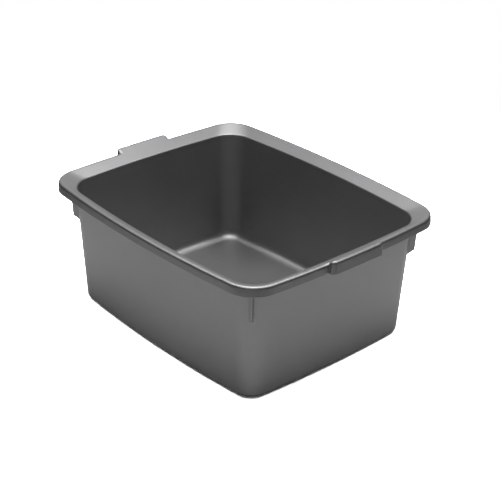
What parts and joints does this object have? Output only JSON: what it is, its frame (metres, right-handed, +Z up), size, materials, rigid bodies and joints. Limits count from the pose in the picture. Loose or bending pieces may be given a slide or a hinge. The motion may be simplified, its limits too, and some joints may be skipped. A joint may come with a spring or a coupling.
{
  "type": "washing-up bowl",
  "caption": "Deep rectangular washing-up bowl with bowed drafted sides, a sloping flanged rim with a down-turned skirt, grip tabs on the short sides and lugs under the rim's corners.",
  "frame": {"origin": "middle of the bowl's footprint, on the plane it stands on", "axes": "+X along the bowl's length to the middle of one grip tab, +Y along its width, +Z up out of its mouth"},
  "size_m": [0.3994, 0.3194, 0.1634],
  "materials": {
    "grey_plastic": "satin silver-grey polypropylene"
  },
  "bodies": {
    "root": {"bowl": "grey_plastic"}
  },
  "joints": []
}
